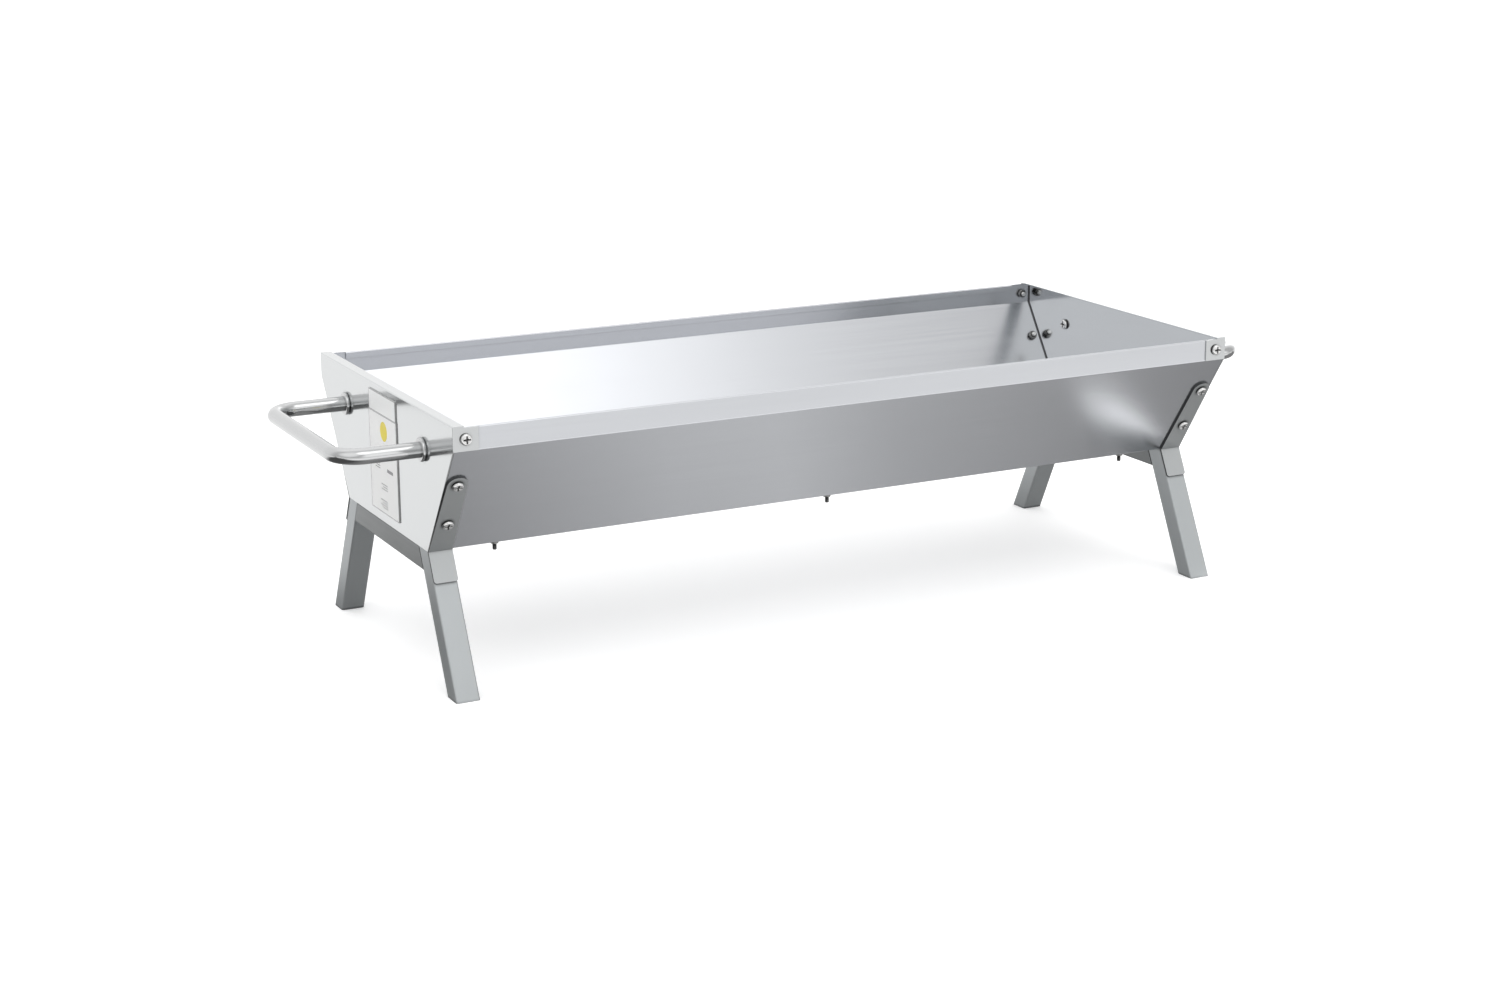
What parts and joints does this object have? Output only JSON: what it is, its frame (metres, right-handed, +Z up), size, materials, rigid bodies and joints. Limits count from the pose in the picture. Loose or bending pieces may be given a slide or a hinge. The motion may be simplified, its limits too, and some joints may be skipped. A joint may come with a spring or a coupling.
{
  "type": "raised trough on legs",
  "caption": "Long open-topped stainless trough with sloping sides and a flat floor, on splayed tube legs, with a U-shaped carrying handle at each end.",
  "frame": {"origin": "on the ground, under the centre of the trough", "axes": "+X along the trough to its right end, +Y to its back, +Z up; the front is -Y"},
  "size_m": [0.962, 0.3532, 0.246],
  "materials": {
    "sheet_steel": "fine satin, half reflecting",
    "panel_steel": "bright satin, half reflecting",
    "tube_steel": "ground satin",
    "strap_steel": "satin",
    "handle_steel": "polished stainless tube",
    "fastener_steel": "bright stainless",
    "seal_strip": "dark matt sealing strip",
    "name_plate": "blank satin plate with dark edges",
    "notice_plate": "pale printed plate with dark edges: a plain yellow disc and plain grey bars, no text"
  },
  "bodies": {
    "root": {"trough_body": "sheet_steel", "end_panel_left": "panel_steel", "end_panel_right": "panel_steel", "end_seal_left": "seal_strip", "end_seal_right": "seal_strip", "cross_tube_left": "tube_steel", "cross_tube_right": "tube_steel", "leg_front_left": "tube_steel", "leg_front_right": "tube_steel", "leg_back_left": "tube_steel", "leg_back_right": "tube_steel", "strap_front_left": "strap_steel", "strap_front_right": "strap_steel", "strap_back_left": "strap_steel", "strap_back_right": "strap_steel", "handle_left": "handle_steel", "handle_right": "handle_steel", "handle_washers": "handle_steel", "handle_inserts": "fastener_steel", "handle_screws": "fastener_steel", "corner_screws": "fastener_steel", "corner_nuts": "fastener_steel", "strap_screws": "fastener_steel", "strap_nuts": "fastener_steel", "floor_bolts": "fastener_steel", "floor_nuts": "fastener_steel", "name_plate": "name_plate", "notice_plate": "notice_plate"}
  },
  "joints": []
}
